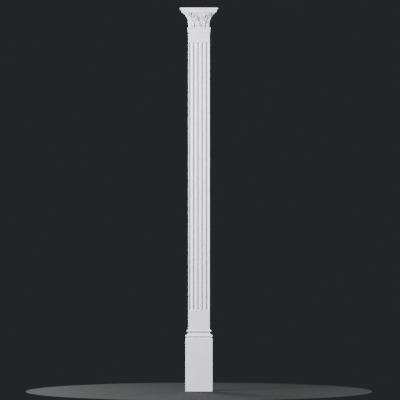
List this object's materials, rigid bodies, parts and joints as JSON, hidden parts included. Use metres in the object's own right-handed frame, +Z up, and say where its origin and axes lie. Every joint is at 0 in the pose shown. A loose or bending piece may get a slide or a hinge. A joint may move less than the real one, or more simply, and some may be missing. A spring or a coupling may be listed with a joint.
{
  "type": "wall pilaster",
  "caption": "Flat wall pilaster: plain plinth base with torus mouldings, fluted shaft, and an acanthus-leaf capital with scrolls under a square abacus.",
  "frame": {"origin": "on the flat back that lies against the wall, at its lowest line (floor level), on the centre line", "axes": "+Z up along the shaft, +Y into the wall, -Y out of the wall towards the viewer, +X to the viewer's right"},
  "size_m": [0.308, 0.085, 3.0966],
  "materials": {
    "base_casting": "white primed rigid polyurethane casting, matt",
    "shaft_casting": "white primed rigid polyurethane casting, matt",
    "capital_casting": "white primed rigid polyurethane casting, matt"
  },
  "bodies": {
    "root": {"plinth_base": "base_casting", "fluted_shaft": "shaft_casting", "capital": "capital_casting"}
  },
  "joints": []
}
